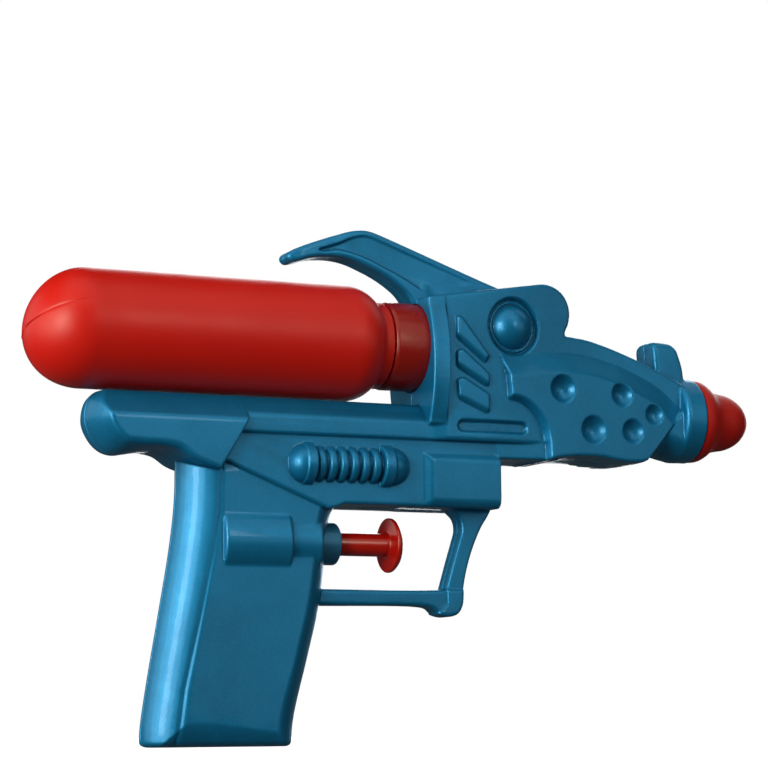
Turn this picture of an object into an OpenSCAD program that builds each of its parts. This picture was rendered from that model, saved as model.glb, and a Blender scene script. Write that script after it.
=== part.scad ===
// Hand-held water squirter with a screw-in rear bottle and a trigger pump.
// Millimetres. +X towards the nozzle, +Y to the left side, +Z up.
// Everything is drawn about a datum on the mid-plane near the middle of the
// body, then moved so that the origin is the centre of the flat grip base.

/* [Bottle] */
// Outside diameter of the bottle
bottle_d = 30.4; // [28:0.1:30.8]
// Wall thickness of the bottle
bottle_wall = 1.2; // [0.8:0.1:1.6]
// Squareness of the rounded bottle end (2 is round)
dome_square = 2.3; // [2:0.1:3]

/* [Shells] */
// Half width of the upper block
block_hw = 11; // [10.6:0.1:11.4]
// Half width of the dimpled shroud panel
panel_hw = 12.4; // [12:0.1:12.8]
// Half width of the stock
stock_hw = 11.6; // [11.2:0.1:12]
// Half width of the lower receiver
receiver_hw = 9.2; // [9:0.1:9.6]
// Half width of the grip
grip_hw = 8.5; // [8.3:0.1:8.8]
// Half width of the top hook
hook_hw = 4; // [3.5:0.1:4.5]
// Half width of the trigger guard
guard_hw = 3; // [2.8:0.1:3.4]

/* [Pump] */
// Bore of the pump barrel
pump_bore = 10.6; // [10.2:0.1:10.8]
// Diameter of the trigger rod
rod_d = 6.1; // [5.6:0.1:6.2]
// Diameter of the push button
button_d = 14.4; // [13:0.1:15]
// Running clearance on the rod and piston, on the radius
run_clear = 0.06; // [0.03:0.01:0.1]
// Wire diameter of the return spring
spring_wire = 0.7; // [0.5:0.1:0.8]
// Turns of the return spring
spring_turns = 6; // [5:1:7]

/* [Water path] */
// Outside diameter of the soft tubes
tube_d = 4; // [3.8:0.1:4.2]
// Inside diameter of the soft tubes
tube_id = 2.6; // [2.5:0.05:2.7]
// Diameter of the nozzle jet
jet_d = 1.5; // [1:0.1:2]
// Diameter of the valve balls
ball_d = 3.6; // [3.5:0.05:3.65]

/* [Hidden] */
$fn = 64;
org = [47, 0, 94];
zb = 10;       // bottle and cap axis
zn = -6;       // nozzle and pressure line axis
zp = -42.5;    // pump axis
zs = 6;        // inlet line, low in the bottle neck
br = bottle_d / 2;
pr = pump_bore / 2;
rr = rod_d / 2;
barb_r = 1.15;

blue = [0.06, 0.36, 0.50];
red = [0.82, 0.12, 0.10];
dark_red = [0.55, 0.07, 0.06];
white = [0.90, 0.90, 0.88];
black = [0.10, 0.10, 0.11];
steel = [0.72, 0.73, 0.75];
clear = [0.85, 0.88, 0.86];

// ---- outlines of the body in the X-Z plane ----
hook_pts = [[-30.5, 30.5], [-25, 30.8], [-20, 32.3], [-15, 32.8], [-10.5, 32.4],
            [-5.5, 31.2], [-1, 29], [3, 26.5], [5.5, 24], [8.5, 20], [33, 22],
            [33, 27], [21, 31], [8, 35.2], [-4, 39.1], [-6, 39.8], [-8.5, 39.8],
            [-11.5, 39.2], [-18.5, 36.5], [-27, 33.2], [-29.5, 32.5]];
block_pts = [[8, -15.4], [8, 22], [13, 23.2], [29, 25.8], [39, 27.5], [43.8, 28.2],
             [46.8, 27.7], [49.3, 26.3], [51.1, 24], [51.9, 21], [51.4, 17.7],
             [50.3, 15.4], [48, 14], [48, -15.4]];
spine_pts = [[46, -17.5], [46, 14.6], [52, 14.4], [57, 14], [62, 12.9], [67, 11.4],
             [72, 9.7], [78, 7.4], [83, 5], [83, -15.6], [76, -17.6]];
slope_pts = [[31, -2], [29, 7], [34, 7.8], [43, 9], [50, 9.6], [58, 9], [66, 7.2],
             [73, 4.6], [79, 1.4], [81, -6], [76, -16], [46, -16]];
panel_pts = [[31, -3.5], [30.6, 2], [33, 1.6], [40.5, 3.3], [46, 3.9], [53, 3.8],
             [61, 2.6], [68, 0.6], [73, -2], [76, -6], [75, -14], [72.5, -18.6],
             [66, -18.4], [58, -17.6], [48, -18], [42.6, -18.8], [42.4, -15],
             [41.7, -11.4], [39.3, -7.5], [35.4, -4.6]];
sight_pts = [[79.8, 2], [80, 13], [80.8, 14.8], [82.5, 15.6], [84.6, 15.2],
             [86.6, 14], [88.5, 11.6], [89.6, 8.2], [90, 3]];
stock_pts = [[-77.5, -5], [-81, -7.5], [-82.2, -12], [-81.7, -15], [-79.2, -19.2],
             [-76.6, -21.3], [-74.5, -21.7], [-72.3, -21.4], [-65.6, -20.4],
             [-61.3, -20.8], [-56.8, -23.2], [-50, -25], [-43.8, -12.3],
             [-43.8, -5]];
stock_side_pts = [[-73, -5], [-75.5, -9], [-76, -13], [-74.5, -17], [-72, -19],
                  [-66.8, -19.2], [-62.6, -18.8], [-58.4, -19.1], [-55, -21.2],
                  [-50, -24.4], [-43.8, -12.3], [-43.8, -5]];
receiver_pts = [[-50, -11], [29.2, -11], [29.2, -31.8], [28.2, -32.8],
                [-17.5, -32.8], [-47.5, -23.2], [-50, -23]];
strip_pts = [[28, -14], [47, -14], [47, -19.4], [28, -19.6]];
plate_pts = [[7, -18.8], [29.2, -18.8], [29.2, -31.8], [28.2, -32.8], [7, -32.8]];
guard_pts = [[17.5, -31], [29.8, -31], [29.6, -33], [26.7, -37.7], [24.4, -42.7],
             [22.9, -47.1], [21.7, -51.5], [21.3, -54.8], [21, -58.5],
             [19.5, -60.6], [16, -60.6], [14.5, -58.5], [-21, -58.5], [-21, -54],
             [16.5, -54], [18.8, -46], [20.3, -41], [21.2, -38], [20.6, -35],
             [18.4, -33.2]];

// grip outline, d draws the front and back straps in
function grip_pts(d, b = 0) = [
    [-58.2 + d, -18], [-58.3 + d, -32], [-59.6 + d, -44], [-62.3 + d, -60],
    [-65.8 + d, -80], [-67 + d, -90], [-67 + d, -94 + b],
    [-27 - d, -94 + b], [-26.8 - d, -88], [-23 - d, -72], [-20 - d, -60],
    [-18.4 - d, -50], [-17.2 - d, -38.5], [-15.6 - d, -33], [-16 - d, -31],
    [-18 - d, -27], [-18 - d, -18]];

// screw places: x, z, seat height on the left, depth on the right
screws = [[-66, -13, 6, -6], [-10, -13, 6, -6], [20.5, 20.3, 6, -6],
          [63.4, -14.2, 6, -6], [22, -26.5, 6, -6], [-37, -60, 6, -6],
          [-46, -83, 6, -6], [18, -56.4, 1.5, -2.4]];

// ---- shapes used again and again ----
module slab(pts, w) {
    translate([0, 1, 0]) rotate([90, 0, 0]) linear_extrude(w + 1) polygon(pts);
}
module inner_slab(pts, w) {
    translate([0, 2, 0]) rotate([90, 0, 0]) linear_extrude(w + 2) polygon(pts);
}
module xcyl(x0, x1, r, z, y = 0) {
    translate([x0, y, z]) rotate([0, 90, 0]) cylinder(h = x1 - x0, r = r);
}
module xcone(x0, x1, r0, r1, z, y = 0) {
    translate([x0, y, z]) rotate([0, 90, 0]) cylinder(h = x1 - x0, r1 = r0, r2 = r1);
}
// cylinder across the body from y0 down to y1
module ycyl(x, z, r, y0, y1) {
    translate([x, y0, z]) rotate([90, 0, 0]) cylinder(h = y0 - y1, r = r);
}
module xspin(z) {
    translate([0, 0, z]) rotate([0, 90, 0]) rotate_extrude() children();
}
// roof section of the rail and stock, as a bar along X
module roof(x0, x1, w, top, flat, edge, low) {
    translate([x0, 0, 0]) rotate([90, 0, 90]) linear_extrude(x1 - x0)
        polygon([[1, low], [1, top], [-flat, top], [-w, edge], [-w, low]]);
}

// ---- swept tube: rings of n points round each route point ----
function unit(v) = v / norm(v);
function dir_at(p, i) = unit(p[min(i + 1, len(p) - 1)] - p[max(i - 1, 0)]);
function ring(c, t, r, n) = let (s = [0, 1, 0], u = unit(cross(s, t)))
    [for (k = [0 : n - 1]) c + r * (cos(360 * k / n) * s + sin(360 * k / n) * u)];
module swept_tube(p, ro, ri, n = 10) {
    m = len(p);
    out = [for (i = [0 : m - 1]) each ring(p[i], dir_at(p, i), ro, n)];
    inn = [for (i = [0 : m - 1]) each ring(p[i], dir_at(p, i), ri, n)];
    o = m * n;
    faces = [
        for (i = [0 : m - 2]) for (k = [0 : n - 1]) let (a = i * n + k,
            b = i * n + (k + 1) % n) each [[a, a + n, b], [b, a + n, b + n]],
        for (i = [0 : m - 2]) for (k = [0 : n - 1]) let (a = o + i * n + k,
            b = o + i * n + (k + 1) % n) each [[a, b, a + n], [b, b + n, a + n]],
        for (k = [0 : n - 1]) let (b = (k + 1) % n)
            each [[k, b, o + k], [b, o + b, o + k]],
        for (k = [0 : n - 1]) let (a = (m - 1) * n + k, b = (m - 1) * n + (k + 1) % n)
            each [[a, o + a, b], [b, o + a, o + b]]];
    polyhedron(concat(out, inn), faces, convexity = 6);
}
// coil spring along X with closed ends
module coil(x0, x1, rm, rw, turns, z, per = 14, n = 5) {
    m = turns * per;
    pts = [for (i = [0 : m]) let (a = 360 * i / per,
            x = x0 + rw + (x1 - x0 - 2 * rw) * i / m)
        for (k = [0 : n - 1]) let (b = 360 * k / n, r = rm + rw * cos(b))
            [x + rw * sin(b), r * cos(a), z + r * sin(a)]];
    faces = concat(
        [for (i = [0 : m - 1]) for (k = [0 : n - 1]) let (a = i * n + k,
            b = i * n + (k + 1) % n) each [[a, b, a + n], [b, b + n, a + n]]],
        [[for (k = [0 : n - 1]) n - 1 - k]],
        [[for (k = [0 : n - 1]) m * n + k]]);
    polyhedron(pts, faces, convexity = 10);
}

// ---- routes of the soft tubes, on the mid-plane ----
dip_route = [[10.4, 0, 6], [2, 0, 6], [-6, 0, 6], [-14, 0, 5.4], [-24, 0, 3.8],
             [-36, 0, 1.5], [-50, 0, -0.6], [-64, 0, -1.4], [-80, 0, -1.6]];
suction_route = [[22.2, 0, 6], [28, 0, 6], [33, 0, 6], [36.6, 0, 5.4],
                 [39.2, 0, 4], [40.6, 0, 2], [41, 0, 0], [41, 0, -2]];
pump_route = [[35.8, 0, -6], [30, 0, -6], [25, 0, -6.6], [20, 0, -8.6],
              [13, 0, -13.4], [6, 0, -18.6], [-2, 0, -23], [-11, 0, -25.6],
              [-22, 0, -26.2], [-33, 0, -26.2], [-39, 0, -26.8],
              [-42.8, 0, -28.2], [-44.6, 0, -30.4], [-45, 0, -32.6], [-45, 0, -35]];
pressure_route = [[46.2, 0, -6], [54, 0, -6], [62, 0, -6], [70.8, 0, -6]];

// ---- body shells ----
module relief_spring() {
    translate([0, -8.2, 0]) xspin(-22.8) polygon(concat(
        [[0, -32.2], [2.2, -31.7], [3.8, -30.4], [4.7, -28.6], [5, -27], [5.5, -27],
         [5.5, -23.4], [3.8, -23.4]],
        [for (i = [0 : 5]) each [[3.8, -21.6 + 2.9 * i], [4.7, -21.6 + 2.9 * i],
            [4.7, -19.7 + 2.9 * i], [3.8, -19.7 + 2.9 * i]]],
        [[3.8, -4.4], [5.5, -4.4], [5.5, -1.6], [4.6, -1.6], [4.2, 0.2], [3.2, 1.6],
         [1.8, 2.5], [0, 2.8]]));
}
module louvres() {
    slab([[16.5, 12.2], [16.5, 17.6], [25.4, 8], [24.7, 6]], block_hw + 0.8);
    slab([[16.4, 3.4], [16.4, 8.6], [25.3, 2.5], [25.1, -0.2]], block_hw + 0.8);
    slab([[16.5, -3.7], [16.5, 0.9], [25.5, -2.8], [25.2, -7]], block_hw + 0.8);
}
module outer_half() {
    slab(hook_pts, hook_hw);
    slab(block_pts, block_hw);
    xcyl(8, 13, 13.4, zb);
    xcone(13, 16.5, 13.4, 10.5, zb);
    slab(spine_pts, 8.2);
    slab(slope_pts, 10.2);
    slab(panel_pts, panel_hw);
    slab(sight_pts, 4);
    xcyl(72, 87.5, 9.8, zn);
    xcyl(87, 93.4, 11.3, zn);
    roof(-45, 10, 9.9, -5.7, 4.7, -10.7, -15.4);
    intersection() {
        slab(stock_pts, stock_hw);
        union() {
            roof(-74, -43, stock_hw, -5.7, 4.7, -12.3, -26);
            roof(-79.5, -43, 9, -5.7, 4.7, -9.8, -26);
            roof(-83, -43, 5.5, -5.7, 4.7, -6.5, -26);
        }
    }
    slab(receiver_pts, receiver_hw);
    slab(strip_pts, 9.5);
    slab(plate_pts, 10.4);
    slab(guard_pts, guard_hw);
    slab(grip_pts(0), 3.5);
    slab(grip_pts(2), 6.5);
    slab(grip_pts(5.5), grip_hw);
    xcyl(-48.4, -30.2, 11.2, zp);
    xcyl(-31, -21.5, 9.9, zp);
    relief_spring();
    louvres();
}
module hollow() {
    // upper block and its way to the cap and the shroud
    inner_slab([[16, -13], [16, 20.6], [29, 23.6], [39, 25.2], [43, 25.6], [46, 23.5],
                [47.6, 20.5], [46, 13], [46, -13]], 8.4);
    inner_slab([[44, 12.4], [57, 12], [67, 9.2], [73, 6.6], [73, -14.5], [44, -15.5]], 6.4);
    inner_slab([[45, -15.8], [45, 1.4], [66, -1.4], [71, -5], [71, -15.8]], 10.2);
    xcyl(70, 88.2, 7.4, zn);
    // rail and stock under the roof
    roof(-42, 17, 8, -7.6, 3.8, -11.6, -16);
    intersection() {
        inner_slab([[-78.5, -7], [-80, -12], [-77, -18.6], [-74, -19.6], [-66, -18.4],
                    [-60, -18.8], [-54, -21], [-50.6, -22], [-46, -12.8], [-46, -7]], 9.6);
        union() {
            roof(-72, -43, 9.6, -7.6, 3.8, -13.2, -26);
            roof(-77, -43, 6.8, -7.6, 3.8, -11, -26);
        }
    }
    // receiver
    inner_slab([[-43, -14], [27.4, -14], [27.4, -30.9], [-17, -30.9], [-42, -24],
                [-43, -23]], 7.4);
    // grip and pump
    inner_slab(grip_pts(2, 2), 3);
    inner_slab(grip_pts(7.3, 2), 6.7);
    xcyl(-46.8, -32, 9.4, zp);
    xcyl(-33, -22.6, 8.1, zp);
}
module ribs() {
    // two saddles for the pump barrel
    for (x = [-38.2, -28]) translate([x, -9, zp - 11]) cube([1.8, 10, 22]);
    // wall across the block in front of the cap
    translate([14.4, -9, -6]) cube([1.8, 10, 27]);
    // posts for the screws
    for (s = screws) if (s[2] > 3) ycyl(s[0], s[1], 2.8, 1, -11);
    // back wall for the side button's well
    ycyl(33.2, 15.5, 9, -7, -10);
}
module cuts() {
    // cap seat with its holding rib
    xcyl(7, 10.2, 11.75, zb);
    xcyl(9.5, 12, 10.4, zb);
    xcyl(11.4, 14.4, 11.75, zb);
    xcyl(14, 17, 4.3, zs);
    // nozzle seat
    xcyl(88, 91.2, 9.4, zn);
    xcyl(90.5, 94, 8.3, zn);
    // pump barrel seat, gland hole and the gap for its flange
    xcyl(-49, -21.1, 6.86, zp);
    xcyl(-36.4, -34.6, 8.4, zp);
    xcyl(-22, -12, 5.6, zp);
    // port of the barrel
    translate([-45, 0, zp]) cylinder(h = 12, r = 3.2);
    // ring well round the side button
    difference() {
        ycyl(33.2, 15.5, 7.8, -9.8, -14);
        ycyl(33.2, 15.5, 5.6, -8, -15);
    }
    // long slot
    slot_y = -block_hw + 0.8;
    ycyl(17.6, -11.5, 1.4, slot_y, -13);
    ycyl(35.1, -11.5, 1.4, slot_y, -13);
    translate([17.6, -13, -12.9]) cube([17.5, 13 + slot_y, 2.8]);
    // dimples of the shroud panel
    for (d = [[47, -0.6, 3.5], [66, -0.9, 3.2], [56.7, -10.7, 3.6], [69.3, -10.9, 3.1]])
        let (h = 1.2, R = (d[2] * d[2] + h * h) / (2 * h))
            translate([d[0], -(panel_hw - h + R), d[1]]) sphere(r = R);
}
module half_body() {
    difference() {
        union() {
            difference() {
                outer_half();
                hollow();
            }
            intersection() {
                ribs();
                outer_half();
            }
            translate([33.2, -8.6, 15.5]) sphere(r = 6.2);
        }
        cuts();
        translate([-200, 0, -200]) cube([400, 40, 400]);
    }
}
module right_shell() {
    color(blue) translate(org) difference() {
        half_body();
        for (s = screws) ycyl(s[0], s[1], 1.25, 1, s[3] - 0.5);
    }
}
module left_shell() {
    color(blue) translate(org) difference() {
        union() {
            mirror([0, 1, 0]) half_body();
            for (s = screws) if (s[2] > 3) intersection() {
                ycyl(s[0], s[1], 4.2, 20, 3.8);
                mirror([0, 1, 0]) outer_half();
            }
        }
        for (s = screws) {
            ycyl(s[0], s[1], 1.45, 20, -1);
            ycyl(s[0], s[1], 2.75, 20, s[2]);
        }
    }
}
module shell_screws() {
    color(steel) translate(org) for (s = screws) difference() {
        union() {
            ycyl(s[0], s[1], 1.2, s[2] + 0.5, s[3]);
            ycyl(s[0], s[1], 2.4, s[2] + 1.4, s[2]);
        }
        for (a = [0, 90]) translate([s[0], s[2] + 1.2, s[1]]) rotate([0, a, 0])
            cube([2.8, 0.8, 0.6], center = true);
    }
}

// ---- bottle, cap and inlet ----
// half profile of the bottle, drawn in by w; [radius, x]
function bottle_line(w) = concat(
    [for (a = [6 : 6 : 90]) [(br - w) * pow(sin(a), 2 / dome_square),
        -98.8 + w + 14.6 * (1 - pow(cos(a), 2 / dome_square))]],
    [for (b = [0 : 8 : 56]) [7.2 + (br - 7.2 - w) * cos(b), -13.4 + (9.4 - w) * sin(b)]]);
module bottle() {
    color(red) translate(org) xspin(zb) polygon(concat(
        [[0, -98.8]], bottle_line(0),
        [[11.4, -5.2], [11.4, -2.7], [9.12, -2.7], [9.12, 8.8], [6.9, 8.8], [6.9, -5.2]],
        [for (i = [len(bottle_line(bottle_wall)) - 3 : -1 : 0]) bottle_line(bottle_wall)[i]],
        [[0, -98.8 + bottle_wall]]));
}
module bottle_cap() {
    color(dark_red) translate(org) difference() {
        union() {
            xspin(zb) polygon([[0, 10.6], [9.2, 10.6], [9.2, -2.3], [11.1, -2.3],
                [11.7, -1.7], [11.7, 10.1], [10.35, 10.1], [10.35, 11.5], [11.7, 11.5],
                [11.7, 14.2], [0, 14.2]]);
            xcyl(5, 11, barb_r, zs);
        }
        xcyl(4, 15, 0.7, zs);
        xcyl(13.2, 15, 0.9, zs);
    }
}
module bottle_seal() {
    color(black) translate(org) xspin(zb)
        polygon([[6.9, 9], [9.1, 9], [9.1, 10.4], [6.9, 10.4]]);
}
module dip_tube() {
    color(clear) translate(org) swept_tube(dip_route, tube_d / 2, tube_id / 2);
}
module inlet_valve_body() {
    color(white) translate(org) xspin(zs) polygon([[2.4, 14.3], [4.1, 14.3], [4.1, 20.5],
        [2.6, 22.1], [barb_r, 22.1], [barb_r, 26.5], [0.6, 26.5], [0.6, 19.6],
        [1.2, 19.6], [1.2, 18.4], [2.4, 18.4]]);
}
module inlet_ball() {
    color(steel) translate(org) translate([15.84, 0, zs]) sphere(d = ball_d);
}
module suction_tube() {
    color(clear) translate(org) swept_tube(suction_route, tube_d / 2, tube_id / 2);
}
module tee_fitting() {
    color(white) translate(org) difference() {
        union() {
            xcyl(36, 46, 2.9, zn);
            xcyl(31, 51, barb_r, zn);
            translate([41, 0, zn]) cylinder(h = 3.8, r = 2.9);
            translate([41, 0, zn]) cylinder(h = 5.6, r = barb_r);
        }
        xcyl(30, 52, 0.6, zn);
        translate([41, 0, zn]) cylinder(h = 9, r = 0.6);
    }
}
module pump_tube() {
    color(clear) translate(org) swept_tube(pump_route, tube_d / 2, tube_id / 2);
}
module pressure_tube() {
    color(clear) translate(org) swept_tube(pressure_route, tube_d / 2, tube_id / 2);
}

// ---- pump ----
module pump_barrel() {
    color(white) translate(org) difference() {
        union() {
            xcyl(-48.6, -21.3, 6.8, zp);
            xcyl(-36.3, -34.7, 8.2, zp);
            translate([-45, 0, zp]) cylinder(h = 7.4, r = 2.9);
            translate([-45, 0, zp]) cylinder(h = 9.6, r = barb_r);
        }
        xcyl(-47.1, -21, pr, zp);
        translate([-45, 0, zp]) cylinder(h = 12, r = 0.6);
    }
}
module pump_gland() {
    color(blue) translate(org) xspin(zp) polygon([[rr + run_clear, -23.6],
        [pr - 0.05, -23.6], [pr - 0.05, -21.3], [5.5, -21.3], [5.5, -15.2],
        [4.9, -14.6], [rr + run_clear, -14.6]]);
}
module trigger() {
    color(red) translate(org) xspin(zp) polygon([[0, -27.6], [1.5, -27.6], [1.5, -24],
        [rr, -24], [rr, -1.6], [rr + 0.7, -0.9], [button_d / 2 - 0.7, -0.9],
        [button_d / 2, -0.2], [button_d / 2, 1], [button_d / 2 - 0.8, 2],
        [button_d / 2 - 2.4, 2.9], [3, 3.6], [0, 3.8]]);
}
module piston() {
    color(white) translate(org) xspin(zp) polygon([[1.55, -24], [pr - run_clear, -24],
        [pr - run_clear, -26], [4.2, -26], [4.2, -28], [pr - run_clear, -28],
        [pr - run_clear, -29.4], [0, -29.4], [0, -27.7], [1.55, -27.7]]);
}
module piston_seal() {
    color(black) translate(org) xspin(zp) polygon([[4.25, -26.05], [pr - 0.04, -26.05],
        [pr - 0.04, -27.95], [4.25, -27.95]]);
}
module return_spring() {
    color(steel) translate(org) coil(-47, -29.5, 3.9, spring_wire / 2, spring_turns, zp);
}

// ---- outlet ----
module outlet_valve_body() {
    color(white) translate(org) xspin(zn) polygon([[0.6, 66], [barb_r, 66], [barb_r, 71],
        [2.6, 71], [4.4, 73], [4.4, 88], [2.4, 88], [2.4, 74], [0.9, 74], [0.9, 73],
        [0.6, 73]]);
}
module outlet_ball() {
    color(steel) translate(org) translate([75.62, 0, zn]) sphere(d = ball_d);
}
module outlet_spring() {
    color(steel) translate(org) coil(77.5, 84.2, 1.5, 0.2, 5, zn, 12);
}
module nozzle() {
    color(red) translate(org) xspin(zn) polygon([[1, 84.3], [2.3, 84.3], [2.3, 88.4],
        [9.3, 88.4], [9.3, 91], [8.2, 91], [8.2, 93.6], [11, 93.6], [11.1, 95],
        [10.2, 98], [9.4, 99.4], [8.4, 100.8], [7.9, 102], [7.7, 105], [7.2, 107],
        [6.3, 108.7], [5.4, 110], [4.3, 111.1], [3, 112], [2.2, 112.3],
        [jet_d / 2, 112.3], [jet_d / 2, 109], [1, 108]]);
}

right_shell();
left_shell();
shell_screws();
bottle();
bottle_cap();
bottle_seal();
dip_tube();
inlet_valve_body();
inlet_ball();
suction_tube();
tee_fitting();
pump_tube();
pump_barrel();
pump_gland();
trigger();
piston();
piston_seal();
return_spring();
pressure_tube();
outlet_valve_body();
outlet_ball();
outlet_spring();
nozzle();
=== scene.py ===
import math

import bmesh
import bpy
import numpy as np
from mathutils import Matrix, Vector


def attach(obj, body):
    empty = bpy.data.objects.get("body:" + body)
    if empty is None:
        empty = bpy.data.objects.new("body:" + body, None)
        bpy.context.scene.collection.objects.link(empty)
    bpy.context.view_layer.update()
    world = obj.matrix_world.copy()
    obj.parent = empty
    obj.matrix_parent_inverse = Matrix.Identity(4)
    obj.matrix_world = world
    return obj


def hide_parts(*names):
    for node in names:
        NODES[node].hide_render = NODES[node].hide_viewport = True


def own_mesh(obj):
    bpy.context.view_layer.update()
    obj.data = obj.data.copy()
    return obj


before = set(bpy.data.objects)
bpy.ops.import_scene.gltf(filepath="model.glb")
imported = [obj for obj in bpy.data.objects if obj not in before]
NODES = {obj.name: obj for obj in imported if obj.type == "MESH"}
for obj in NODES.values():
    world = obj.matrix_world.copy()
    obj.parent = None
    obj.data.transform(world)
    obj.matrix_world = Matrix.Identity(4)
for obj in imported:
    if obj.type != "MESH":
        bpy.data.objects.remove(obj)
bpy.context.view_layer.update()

# All shapes below are drawn in millimetres about a datum on the mid-plane,
# +X to the nozzle, +Z up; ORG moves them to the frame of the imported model.
ORG = np.array([47.0, 0.0, 94.0])
ZB, ZN, ZP = 10.0, -6.0, -42.5          # bottle, nozzle and pump axes
scene = bpy.context.scene


# ---------------------------------------------------------------- camera ----
def make_camera():
    az, el, roll = (math.radians(v) for v in (-25.0, -7.7, -0.46))
    back = Vector((math.sin(az) * math.cos(el), -math.cos(az) * math.cos(el), math.sin(el)))
    right = (-back).cross(Vector((0, 0, 1))).normalized()
    up = right.cross(-back)
    r = math.cos(roll) * right + math.sin(roll) * up
    u = -math.sin(roll) * right + math.cos(roll) * up
    data = bpy.data.cameras.new("photo_camera")
    data.sensor_fit = "HORIZONTAL"
    data.sensor_width = 36.0
    data.lens = 36.0 * 2500.0 / 768.0
    data.clip_start, data.clip_end = 0.02, 50.0
    cam = bpy.data.objects.new("photo_camera", data)
    m = Matrix((r, u, back)).transposed().to_4x4()
    m.translation = Vector((0.047, 0.0, 0.094)) + back * (2.5 / 3.8)
    cam.matrix_world = m
    scene.collection.objects.link(cam)
    scene.camera = cam
    return r, u, back


CAM_R, CAM_U, CAM_B = make_camera()


# ------------------------------------------------- distance-field helpers ----
STEP = 0.35
gx = np.arange(-84.6, 95.6, STEP, dtype=np.float32)
gz = np.arange(-95.9, 41.6, STEP, dtype=np.float32)
ga = np.arange(-2.5 * STEP, 16.2, STEP, dtype=np.float32)


def smax(p, q, k):
    if k <= 0:
        return np.maximum(p, q)
    h = np.maximum(k - np.abs(p - q), 0.0) / k
    return np.maximum(p, q) + h * h * (k * 0.25)


def smin(p, q, k):
    return -smax(-p, -q, k)


def ease(t):
    t = np.clip(t, 0.0, 1.0)
    return t * t * (3.0 - 2.0 * t)


class Patch:
    """A block of the grid round one feature; x and z are the side-view plane, a the distance from mid-plane."""

    def __init__(self, x0, x1, z0, z1, m=3.5):
        i = np.searchsorted(gx, [x0 - m, x1 + m])
        k = np.searchsorted(gz, [z0 - m, z1 + m])
        self.s = (slice(i[0], i[1]), slice(k[0], k[1]))
        self.x = gx[i[0]:i[1]][:, None, None]
        self.z = gz[k[0]:k[1]][None, :, None]
        self.a = ga[None, None, :]
        self.X, self.Z = np.meshgrid(gx[i[0]:i[1]], gz[k[0]:k[1]], indexing="ij")


def smooth(pts, n=7):
    """Closed outline through pts. A point with a third value is a corner, the rest lie on smooth curves."""
    P = [np.array(p[:2], float) for p in pts]
    c = [len(p) > 2 for p in pts]
    m, out = len(P), []
    for i in range(m):
        p1, p2 = P[i], P[(i + 1) % m]
        p0 = 2 * p1 - p2 if c[i] else P[i - 1]
        p3 = 2 * p2 - p1 if c[(i + 1) % m] else P[(i + 2) % m]
        t1 = math.sqrt(np.linalg.norm(p1 - p0)) or 1e-3
        t2 = t1 + (math.sqrt(np.linalg.norm(p2 - p1)) or 1e-3)
        t3 = t2 + (math.sqrt(np.linalg.norm(p3 - p2)) or 1e-3)
        for s in range(n):
            t = t1 + (t2 - t1) * s / n
            a1 = (t1 - t) / t1 * p0 + t / t1 * p1
            a2 = (t2 - t) / (t2 - t1) * p1 + (t - t1) / (t2 - t1) * p2
            a3 = (t3 - t) / (t3 - t2) * p2 + (t - t2) / (t3 - t2) * p3
            b1 = (t2 - t) / t2 * a1 + t / t2 * a2
            b2 = (t3 - t) / (t3 - t1) * a2 + (t - t1) / (t3 - t1) * a3
            out.append((t2 - t) / (t2 - t1) * b1 + (t - t1) / (t2 - t1) * b2)
    return np.array(out)


def line_dist(U, V, pts, closed=True):
    """Distance from points (U, V) to a polyline, and whether they lie inside it."""
    P = np.asarray(pts, np.float32)
    Q = np.roll(P, -1, 0)
    if not closed:
        P, Q = P[:-1], Q[:-1]
    d = np.full(U.shape, 1e9, np.float32)
    inside = np.zeros(U.shape, bool)
    for (px, pz), (qx, qz) in zip(P, Q):
        ex, ez = qx - px, qz - pz
        L = ex * ex + ez * ez
        if L < 1e-9:
            continue
        wx, wz = U - px, V - pz
        t = np.clip((wx * ex + wz * ez) / L, 0, 1)
        d = np.minimum(d, (wx - ex * t) ** 2 + (wz - ez * t) ** 2)
        if closed and pz != qz:
            inside ^= ((pz <= V) != (qz <= V)) & (U < ex * (V - pz) / (qz - pz) + px)
    return np.sqrt(d), inside


def poly(p, pts):
    d, inside = line_dist(p.X, p.Z, pts)
    return np.where(inside, -d, d).astype(np.float32)


def slab(p, s2, h, r):
    """Outline s2 drawn out to half width h, with its long edges rounded by r."""
    u = s2[:, :, None] + r
    v = p.a - h + r
    return np.minimum(np.maximum(u, v), 0) + np.hypot(np.maximum(u, 0), np.maximum(v, 0)) - r


def xcyl(p, x0, x1, r, zc, e=0.0, yc=0.0):
    rho = np.hypot(p.a - yc, p.z - zc)
    end = np.maximum(x0 - p.x, p.x - x1)
    if e <= 0:
        return np.maximum(rho - r, end)
    u, v = rho - r + e, end + e
    return np.minimum(np.maximum(u, v), 0) + np.hypot(np.maximum(u, 0), np.maximum(v, 0)) - e


def field_over_slope(f, *steps):
    """Turns any smooth level function into a near distance."""
    g = np.gradient(f, *steps)
    return f / np.maximum(np.sqrt(sum(c * c for c in g)), 0.25)


def new_field():
    return np.full((len(gx), len(gz), len(ga)), 9.0, np.float32)


def join(D, p, f, k=0.0):
    v = D[p.s]
    v[...] = smin(v, f, k)


def carve(D, p, f, k=0.0):
    v = D[p.s]
    v[...] = smax(v, -f, k)


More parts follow.
